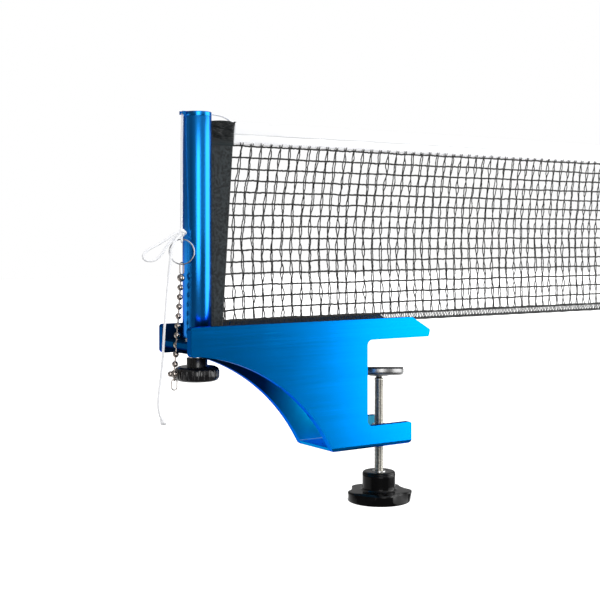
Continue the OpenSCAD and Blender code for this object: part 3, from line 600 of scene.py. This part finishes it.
def wob(a, b, c, k=1.0):
    return noise.noise(Vector((a, b, c)) * k)


def sag(x, z):
    """The net's rows droop towards the band near its lower end."""
    low = max(0, min(1, (75 - z) / 58))
    near = max(0, min(1, (-90 - x) / 42))
    return -2.3 * low * low * near * near if z > HEM_TOP + 1 else 0


def drift(z):
    """How far the columns lean towards the post, from the tape down and back a little above the hem."""
    t = max(0, (NET_TOP - z) / (NET_TOP - NET_FOOT))
    return -7.6 * sin(pi / 2 * min(t / 0.62, 1)) + 1.5 * max(0, (t - 0.62) / 0.38)


net = Parts()
for j in range(ROWS):
    z = NET_TOP - CELL * j
    x0 = band_edge(z) - 1.2
    n = round((NET_END - x0) / STEP)
    pts = []
    for i in range(n + 1):
        x = x0 + (NET_END - x0) * i / n
        pts.append((x, 0.16 * sin(2 * pi * (x + 125) / PITCH + j * pi) + 0.1 * wob(x, j, 3, 0.2),
                    z + sag(x, z) + 0.45 * wob(x, j * 9.1, 0, 0.07) + 0.26 * wob(x, j * 5.7, 8, 0.5)
                    + 0.2 * wob(x, j * 2.3, 17, 1.1)))
    net.tube(pts, ROW_R, 6, wave=lambda s, a, j=j: 1 + 0.34 * wob(s, j * 3.3, cos(a), 0.8))
# Each column is two strands. One passes in front of a row's thread and one behind it, and they change places
# from row to row
for c in range(-16, int((NET_X1 + 8) / PITCH) + 1):
    for side in (-1, 1):
        pts = []
        z = NET_FOOT - 1.2
        while z < NET_TOP + 0.7:
            spread = 0.60 + 0.85 * wob(c * 4.3, z * 0.13, 0)
            lean = 1.1 * wob(c * 2.1, z * 0.045, 4) + 0.7 * wob(c * 2.1, z * 0.16, 4)
            x = (1.1 + PITCH * c + drift(z) + lean + side * spread + 0.2 * wob(z * 0.55, c * 3.0 + side, 1)
                 + 0.26 * wob(z * 1.1, c * 3.7 + side, 21))
            if band_edge(z) - 1.2 < x < NET_END:
                pts.append((x, side * 0.36 * cos(pi * (z - NET_TOP) / CELL) + 0.05, z + sag(x, z) * 0.9))
            elif len(pts) > 3:
                net.tube(pts, COLUMN_R, 6)
                pts = []
            z += STEP
        if len(pts) > 3:
            net.tube(pts, COLUMN_R, 6,
                     wave=lambda s, a, c=c, side=side: 1 + 0.36 * wob(s, c * 3.3 + side, cos(a), 1.1))
    # The loops that hang the net in the tape's seam show as short stubs on both faces
    for face in (-1, 1):
        for side in (-1, 1):
            x = 1.1 + PITCH * c + side * 0.55 + 0.8 * wob(c * 1.7, side * 5.0, face)
            top = 2.3 + 0.9 * wob(c * 2.9, side * 3.0, face * 4.0)
            if band_edge(NET_TOP) < x < NET_X1:
                net.tube([(x + side * 0.12 * k, face * (0.40 + 0.5 * min(k, 2) / 2), NET_TOP + top * k / 3)
                          for k in range(4)], lambda t: 0.34 - 0.1 * t, 6)
net.make("net_threads", net_mat.m, "post", "net_mesh")


# ---------------------------------------------------------------- tape, hem and bands
def strip(p, lo, hi, half, offset, n, m, bulge=0.25):
    """A thin closed band between the lines lo(t) and hi(t), with rounded edges and a slightly full middle."""
    rows = []
    for i in range(n + 1):
        t = i / n
        a, b = Vector(lo(t)), Vector(hi(t))
        row = []
        for k in range(2 * m):
            # Round the section: first the front from low to high, then the back
            f = (k + 0.5) / m if k < m else (2 * m - k - 0.5) / m
            face = -1 if k < m else 1
            edge = min(1, (min(f, 1 - f) * (b - a).length / 0.9))
            h = half * (0.35 + 0.65 * math.sqrt(1 - (1 - edge) ** 2)) * (1 - bulge + bulge * sin(pi * f))
            q = a.lerp(b, f)
            row.append((q.x, q.y + offset(t, f) + face * h, q.z))
        rows.append(row)
    p.rings(rows)


def stitches(p, line, count, size, y):
    """Short raised dashes along a line, on the front and the back."""
    step = 1 / count
    for s in (-1, 1):
        for i in range(count):
            a, b = Vector(line(i * step)), Vector(line((i + size) * step))
            pts = [a.lerp(b, k / 4) + Vector((0, s * (y + 0.07 * sin(pi * k / 4)), 0)) for k in range(5)]
            p.tube(pts, 0.13, 6)


def along(z, x0, x1, wave=0.0, seed=0.0):
    """A line along the net at height z, from x0 to x1, for t from 0 to 1."""
    return lambda t: (x0 + (x1 - x0) * t, 0, z + wave * wob(t * 50, 0, seed))


def tape_edge(z, wave=0.0, seed=0.0, start=None):
    """A line along the tape at height z, which starts at the band's edge there, or at the height start."""
    return along(z, band_edge(z if start is None else start) - 0.4, NET_X1 + 0.6, wave, seed)


def ruffle(t, f):
    return 0.10 * sin(40 * t + 3 * f) * sin(13 * t) + 0.08 * wob(t * 60, f * 3, 0)


# The tape is folded over the net: the upper strip lies over the lower one from FOLD on
FOLD = 143.9
tape = Parts()
strip(tape, tape_edge(TAPE_LOW, 0.12, 2), tape_edge(FOLD + 1.5, start=FOLD), 0.58, ruffle, 260, 8)
strip(tape, tape_edge(FOLD, 0.25, 4), tape_edge(NET_H - 0.15, 0.12, 7, NET_H), 0.76, ruffle, 260, 12)
tape.make("tape_woven", tape_mat.m, "post", "top_tape")
seam = Parts()
for z, y in ((TAPE_LOW + 2.1, 0.56), (FOLD + 1.1, 0.70)):
    stitches(seam, along(z, -127, NET_X1, 0.1, z), 150, 0.62, y)
seam.make("tape_stitches", stitch_mat.m, "post")

# The hem is knitted: three long threads, with slanting pairs of ribs between them
hem = Parts()
for z, r in ((HEM_TOP - 0.6, 0.62), (NET_LOW + 0.8, 0.72), (NET_LOW + 1.7, 0.34)):
    pts = [(x, 0.12 * wob(x, z, 0, 0.3), z + 0.14 * wob(x, z, 5, 0.25)) for x in
           [band_edge(z) - 0.6 + (NET_END - band_edge(z)) * i / 300 for i in range(301)]]
    hem.tube(pts, r, 8, wave=lambda s, a, z=z: 1 + 0.14 * sin(s * 5.2 + 2 * a) + 0.12 * wob(s, z, cos(a), 1.2))
RIB, RIB_H, RIB_X0 = 3.2, 5.2, -134.0
for i in range(int((NET_X1 - RIB_X0) / RIB)):
    x = RIB_X0 + RIB * i + 0.4 * wob(i * 1.7, 0, 0)
    lean = 1.5 + 0.9 * wob(i * 2.3, 5, 0)
    for side in (-1, 1):
        bow = 0.55 + 0.45 * wob(i * 3.1, side, 2)
        pts = [(x + lean * (k / 7 - 0.5) + side * (0.25 + bow * sin(pi * k / 7))
                + 0.12 * wob(i, k * 0.7, side * 3.0),
                0.3 * side * cos(pi * k / 7), NET_LOW + 0.6 + RIB_H * k / 7) for k in range(8)]
        hem.tube(pts, 0.36, 6, wave=lambda s, a, i=i: 1 + 0.3 * wob(s, i * 3.3, cos(a), 1.2))
hem.make("hem_knitted", hem_mat.m, "post", "bottom_hem")

BAND_LOW, BAND_TOP = NET_LOW + 0.1, NET_H - 0.1


def band_strip(p, x_in, x_out):
    """A band's flat part, between the edges x_in(z) and x_out(z)."""
    def height(t):
        return BAND_LOW + (BAND_TOP - BAND_LOW) * t

    strip(p, lambda t: (x_in(height(t)), 0, height(t)), lambda t: (x_out(height(t)), 0, height(t)), 0.72,
          lambda t, f: 0.06 * wob(t * 30, f * 4, 0), 90, 14, 0.15)


def sleeve_row(z, r):
    return [(ROD_X + r * cos(2 * pi * k / 24), r * sin(2 * pi * k / 24), z) for k in range(24)]


# The sleeve round the rod: up its outside, and down its inside
sleeve_z = [NET_LOW + 0.1 + (NET_H - 0.2 - NET_LOW) * i / 60 for i in range(61)]
sleeve = [sleeve_row(z, 1.4 + 0.66 + 0.03 * wob(z, 1, 2, 0.4)) for z in sleeve_z]
sleeve += [sleeve_row(z, 1.42) for z in sleeve_z[::-1]]
sleeve.append(sleeve[0])
band = Parts()
band_strip(band, lambda z: ROD_X + 1.2, band_edge)
band.rings(sleeve, caps=False)
band.make("side_band_woven", band_mat.m, "post", "side_band")


def seam_z(t):
    return NET_LOW + 1 + 139 * t


band_seams = Parts()
for x_at in (lambda z: band_edge(z) - 1.3, lambda z: ROD_X + 2.2 + 5.2):
    stitches(band_seams, lambda t: (x_at(seam_z(t)), 0, seam_z(t)), 60, 0.6, 0.72)
band_seams.make("side_band_stitches", dark_stitch.m, "post")

# The band's top end is a smooth tape turned over it, with soft folds and a flared upper corner. Each fold has
# its place outwards and upwards, its width and its height
FOLDS = ((0.30, 0.62, 0.16, 0.55), (0.34, 0.30, 0.10, -0.25), (0.75, 0.78, 0.18, 0.3), (0.8, 0.2, 0.15, 0.25))
PATCH_LOW, PATCH_IN = 136.2, ROD_X + 2.0
NX, NZ = 26, 40


def patch_half(t, f):
    """Half the turned-over end's thickness: t runs up, f outwards from the post."""
    h = 0.92 + sum(d * math.exp(-((t - b) / w) ** 2 - ((f - a) / (w * 1.6)) ** 2) * 0.55
                   for a, b, w, d in FOLDS)
    edge = min(1, f / 0.12, (1 - f) / 0.12, t / 0.06, (1 - t) / 0.08)
    return h * math.sqrt(max(0.02, 1 - (1 - max(0, edge)) ** 2)) + 0.12


patch = Parts()
for face in (-1, 1):
    pts = []
    for k in range(NZ + 1):
        t = k / NZ
        for i in range(NX + 1):
            f = i / NX
            top = NET_H - 0.1 + 1.1 * sin(pi * min(1, f * 1.15) * 0.75)
            z = PATCH_LOW + (top - PATCH_LOW) * t
            x_out = band_edge(z) + 0.1 + 0.9 * max(0, t - 0.72) / 0.28
            pts.append((PATCH_IN + (x_out - PATCH_IN) * f, face * patch_half(t, f), z))
    quads = [(k * (NX + 1) + i, k * (NX + 1) + i + 1, (k + 1) * (NX + 1) + i + 1, (k + 1) * (NX + 1) + i)
             for k in range(NZ) for i in range(NX)]
    patch.add(pts, quads if face < 0 else [q[::-1] for q in quads])
# The rim joins the front's outline to the back's
n = (NX + 1) * (NZ + 1)
rim = (list(range(NX)) + [k * (NX + 1) + NX for k in range(NZ)]
       + [NZ * (NX + 1) + NX - i for i in range(NX)] + [(NZ - k) * (NX + 1) for k in range(NZ)])
patch.f += [(b, a, a + n, b + n) for a, b in zip(rim, rim[1:] + rim[:1])]
patch.make("side_band_top", patch_mat.m, "post")

end = Parts()
band_strip(end, lambda z: NET_X1, lambda z: NET_L - 1.2)
end.rings([[(x + NET_L - ROD_X, y, z) for x, y, z in row] for row in sleeve], caps=False)
end.make("end_band_woven", band_mat.m, "post", "end_band")

# ---------------------------------------------------------------- split ring
COIL_R, COIL_START, COIL_LIFT, TURN = 8.3, 1.9, 0.28, 96


def coil_lift(i):
    """The wire's first turn lies beside its second one, and it crosses over at the first one's end."""
    if i < TURN - 6:
        return -COIL_LIFT
    if i > TURN + 6:
        return COIL_LIFT
    return COIL_LIFT * sin((i - TURN) / 6 * pi / 2)


ring = Parts()
pts = []
for i in range(2 * TURN + 1):
    t = 2 * pi * i / TURN
    pts.append(RING_CENTRE + ring_along * (COIL_R * cos(t + COIL_START)) + UP * (COIL_R * sin(t + COIL_START))
               + ring_across * coil_lift(i))
ring.tube(pts, 0.40, 12, flat=0.7)
ring.make("split_ring_coil", ring_steel.m, "ring", "split_ring")


# ---------------------------------------------------------------- light, floor and world
def panel(name, size, at, to, radiance):
    """A lamp of an even radiance, as a reflection shows it."""
    d = bpy.data.lights.new(name, "AREA")
    d.shape = "RECTANGLE"
    d.size, d.size_y = size
    d.energy = radiance * pi * size[0] * size[1]
    o = bpy.data.objects.new(name, d)
    o.location = at
    o.visible_camera = False
    o.rotation_euler = (Vector(to) - Vector(at)).to_track_quat("-Z", "Y").to_euler()
    scene.collection.objects.link(o)


panel("strip", (0.58, 0.84), (-0.51, -1.13, 0.22), (-0.155, 0, 0.22), 3.4)
panel("softbox", (0.64, 0.66), (0.515, -0.293, 0.11), (0, 0, 0.11), 2.85)
panel("overhead", (1.2, 1.2), (0.1, -0.3, 1.6), (-0.05, 0, 0), 0.8)


def grey(v):
    return v, v, v


# The floor is dark in front of the part and pale behind it, as the studio's sweep is; the camera sees it white
FLOOR_Z, FLOOR_HALF = -0.30, 9
floor_me = bpy.data.meshes.new("floor")
floor_corners = [(x * FLOOR_HALF, y * FLOOR_HALF, FLOOR_Z) for x, y in ((-1, -1), (1, -1), (1, 1), (-1, 1))]
floor_me.from_pydata(floor_corners, [], [(0, 1, 2, 3)])
floor = bpy.data.objects.new("floor", floor_me)
scene.collection.objects.link(floor)
fn = Material("floor")
lp = fn.new("LightPath")
fx, fy, _ = fn.axes()
far = fn.from_axis(fx, fy)
speck = fn.noise(fn.place(), 35.0, 3.0, 0.6)
behind = fn.span(fy, -0.05, 0.25)
fn.set(Base_Color=fn.mix(behind, fn.mix(speck, grey(0.11), grey(0.14)), fn.mix(speck, grey(0.58), grey(0.64))),
       Roughness=0.9, Specular_IOR_Level=0.2)
near = fn.math("SUBTRACT", 0.90, fn.math("MULTIPLY", behind, 0.3))
seen = fn.math("MULTIPLY", lp.outputs["Is Camera Ray"], fn.span(far, 0.3, 1.6, near, 1.0))
mirrored = fn.math("ADD", lp.outputs["Is Glossy Ray"], lp.outputs["Is Transmission Ray"])
white = fn.math("ADD", seen, fn.math("MULTIPLY", mirrored, fn.math("MULTIPLY", behind, 0.4)))
glow = fn.new("Emission", Color=(1, 1, 1, 1), Strength=white)
add = fn.new("AddShader")
fn.put(add.inputs[0], fn.b.outputs[0])
fn.put(add.inputs[1], glow.outputs[0])
fn.put(fn.o.inputs["Surface"], add.outputs[0])
floor_me.materials.append(fn.m)

# A mirrored or refracted ray sees the studio: pale behind the part, darker in front, and darkest to the front
# left, where it has a black flag
world = bpy.data.worlds.new("world")
scene.world = world
world.use_nodes = True
bg = world.node_tree.nodes["Background"]
wn = Tree(world.node_tree)
lp = wn.new("LightPath")
BACK = 0.25
wx, wy, _ = wn.axes("Generated")
front = wn.span(wy, -0.15, 0.15, 1.0, 0.0)
room = wn.math("ADD", wn.math("MULTIPLY", wn.math("SUBTRACT", 1.0, front), BACK),
               wn.math("MULTIPLY", front, wn.span(wx, -0.95, -0.45, 0.12, 0.46)))
mirrored = wn.math("ADD", lp.outputs["Is Glossy Ray"], lp.outputs["Is Transmission Ray"])
direct = wn.math("ADD", lp.outputs["Is Camera Ray"], wn.math("MULTIPLY", lp.outputs["Is Diffuse Ray"], 0.85))
bg.inputs["Color"].default_value = (1, 1, 1, 1)
wn.put(bg.inputs["Strength"], wn.math("ADD", direct, wn.math("MULTIPLY", mirrored, room)))
